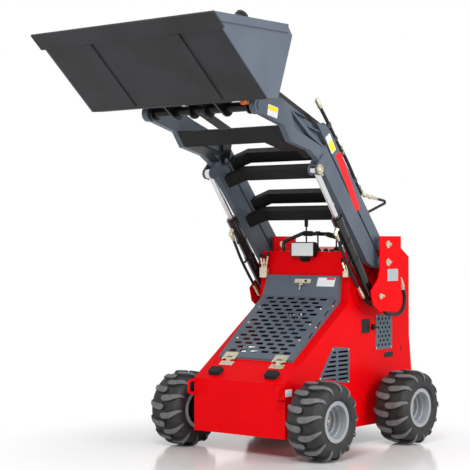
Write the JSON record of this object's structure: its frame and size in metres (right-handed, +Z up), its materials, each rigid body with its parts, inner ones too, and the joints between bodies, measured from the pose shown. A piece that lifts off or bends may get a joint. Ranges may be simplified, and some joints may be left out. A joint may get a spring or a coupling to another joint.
{
  "type": "mini loader",
  "caption": "Stand-on mini loader with driven wheels, a raised self-levelling boom, a wide curled bucket, a hinged hood and a fold-up operator's platform.",
  "frame": {"origin": "on the ground, below the middle of the machine's whole outline", "axes": "+Z up, -Y towards the bucket, +X to the machine's left"},
  "size_m": [1.34, 2.6048, 2.6172],
  "materials": {
    "arm_grey": "gloss paint",
    "body_red": "gloss paint",
    "black_paint": "satin paint",
    "bucket_grey": "satin paint",
    "zinc": "zinc plated",
    "chrome": "polished chrome",
    "tyre": "matt rubber",
    "rim_silver": "silver paint",
    "rubber": "matt",
    "pad": "soft matt",
    "plastic_black": "matt",
    "lens": "clear ribbed",
    "engine": "rough"
  },
  "bodies": {
    "chassis": {"body_shell": "body_red", "tower_plates": "body_red", "tower_pins": "zinc", "deck_bumpers": "rubber", "work_lamp": "plastic_black", "lamp_lens": "lens", "handlebar": "black_paint", "control_levers": "plastic_black", "thigh_pad": "pad", "engine_block": "engine", "engine_rails": "black_paint", "tie_down_loops": "body_red", "side_vents": "arm_grey", "side_grilles": "arm_grey", "wheel_motors": "black_paint", "platform_ears": "black_paint", "hood_hinge_bases": "zinc"},
    "hood": {"hood_panel": "arm_grey", "hood_screen": "arm_grey", "hood_hinge_leaves": "zinc"},
    "platform": {"platform": "black_paint"},
    "boom": {"boom_arm_left": "arm_grey", "boom_arm_right": "arm_grey", "boom_cross_plate": "black_paint", "boom_crossbars": "black_paint"},
    "upper_link": {"upper_arm_left": "arm_grey", "upper_arm_right": "arm_grey", "upper_crossbars": "black_paint"},
    "rocker": {"knee_rockers": "black_paint"},
    "front_link": {"front_links": "black_paint"},
    "head": {"head_frame": "black_paint"},
    "bucket": {"bucket_shell": "bucket_grey", "bucket_sides": "arm_grey", "bucket_cutting_edge": "bucket_grey", "bucket_wear_strips": "bucket_grey", "bucket_coupler": "bucket_grey"},
    "tilt_barrel": {"tilt_barrel": "black_paint"},
    "tilt_rod": {"tilt_rod": "chrome"},
    "lift_barrel_left": {"lift_barrel_left": "black_paint"},
    "lift_rod_left": {"lift_rod_left": "chrome"},
    "lift_barrel_right": {"lift_barrel_right": "black_paint"},
    "lift_rod_right": {"lift_rod_right": "chrome"},
    "wheel_front_left": {"tyre_front_left": "tyre", "rim_front_left": "rim_silver"},
    "wheel_front_right": {"tyre_front_right": "tyre", "rim_front_right": "rim_silver"},
    "wheel_rear_left": {"tyre_rear_left": "tyre", "rim_rear_left": "rim_silver"},
    "wheel_rear_right": {"tyre_rear_right": "tyre", "rim_rear_right": "rim_silver"}
  },
  "joints": [
    {"name": "lift", "type": "hinge", "parent": "chassis", "child": "boom", "pos_m": [0, 0.60044, 1.125], "axis": [-1, 0, 0], "range_deg": [-72, 0]},
    {"name": "upper_link", "type": "hinge", "parent": "chassis", "child": "upper_link", "pos_m": [0, 0.60044, 1.235], "axis": [-1, 0, 0], "range_deg": [-72, 0]},
    {"name": "rocker", "type": "hinge", "parent": "boom", "child": "rocker", "pos_m": [0, 0.04044, 1.755], "axis": [-1, 0, 0], "range_deg": [0, 72]},
    {"name": "front_link", "type": "hinge", "parent": "rocker", "child": "front_link", "pos_m": [0, 0.08044, 1.925], "axis": [-1, 0, 0], "range_deg": [-72, 0]},
    {"name": "head", "type": "hinge", "parent": "boom", "child": "head", "pos_m": [0, -0.60456, 2.005], "axis": [-1, 0, 0], "range_deg": [0, 72]},
    {"name": "tilt", "type": "hinge", "parent": "head", "child": "bucket", "pos_m": [0, -0.60456, 2.005], "axis": [1, 0, 0], "range_deg": [0, 80]},
    {"name": "tilt_barrel", "type": "hinge", "parent": "head", "child": "tilt_barrel", "pos_m": [0, -0.35456, 2.465], "axis": [1, 0, 0], "range_deg": [-1.11, 0]},
    {"name": "tilt_rod", "type": "slide", "parent": "tilt_barrel", "child": "tilt_rod", "axis": [0, -0.6859, -0.7277], "range_m": [0, 0.2343]},
    {"name": "lift_barrel_left", "type": "hinge", "parent": "chassis", "child": "lift_barrel_left", "pos_m": [0.402, 0.52044, 0.919], "axis": [-1, 0, 0], "range_deg": [-73.76, 0]},
    {"name": "lift_rod_left", "type": "slide", "parent": "lift_barrel_left", "child": "lift_rod_left", "axis": [0, -0.6082, 0.7938], "range_m": [-0.2586, 0]},
    {"name": "lift_barrel_right", "type": "hinge", "parent": "chassis", "child": "lift_barrel_right", "pos_m": [-0.402, 0.52044, 0.919], "axis": [-1, 0, 0], "range_deg": [-73.76, 0]},
    {"name": "lift_rod_right", "type": "slide", "parent": "lift_barrel_right", "child": "lift_rod_right", "axis": [0, -0.6082, 0.7938], "range_m": [-0.2586, 0]},
    {"name": "hood", "type": "hinge", "parent": "chassis", "child": "hood", "pos_m": [0, -0.12456, 0.548], "axis": [1, 0, 0], "range_deg": [0, 75]},
    {"name": "platform", "type": "hinge", "parent": "chassis", "child": "platform", "pos_m": [0, 1.11744, 0.205], "axis": [1, 0, 0], "range_deg": [0, 88]},
    {"name": "wheel_front_left", "type": "hinge", "parent": "chassis", "child": "wheel_front_left", "pos_m": [0.516, -0.14956, 0.2285], "axis": [1, 0, 0], "continuous": true},
    {"name": "wheel_front_right", "type": "hinge", "parent": "chassis", "child": "wheel_front_right", "pos_m": [-0.516, -0.14956, 0.2285], "axis": [1, 0, 0], "continuous": true},
    {"name": "wheel_rear_left", "type": "hinge", "parent": "chassis", "child": "wheel_rear_left", "pos_m": [0.516, 0.74844, 0.2285], "axis": [1, 0, 0], "continuous": true},
    {"name": "wheel_rear_right", "type": "hinge", "parent": "chassis", "child": "wheel_rear_right", "pos_m": [-0.516, 0.74844, 0.2285], "axis": [1, 0, 0], "continuous": true}
  ],
  "couplings": [
    {"joint": "upper_link", "follows": "lift", "ratio": 1},
    {"joint": "rocker", "follows": "lift", "ratio": -1},
    {"joint": "front_link", "follows": "lift", "ratio": 1},
    {"joint": "head", "follows": "lift", "ratio": -1},
    {"joint": "tilt_barrel", "follows": "tilt", "ratio": -0.013905},
    {"joint": "tilt_rod", "follows": "tilt", "m_per_rad": 0.1678},
    {"joint": "lift_barrel_left", "follows": "lift", "ratio": 1.0245},
    {"joint": "lift_rod_left", "follows": "lift", "m_per_rad": 0.20578},
    {"joint": "lift_barrel_right", "follows": "lift", "ratio": 1.0245},
    {"joint": "lift_rod_right", "follows": "lift", "m_per_rad": 0.20578}
  ]
}
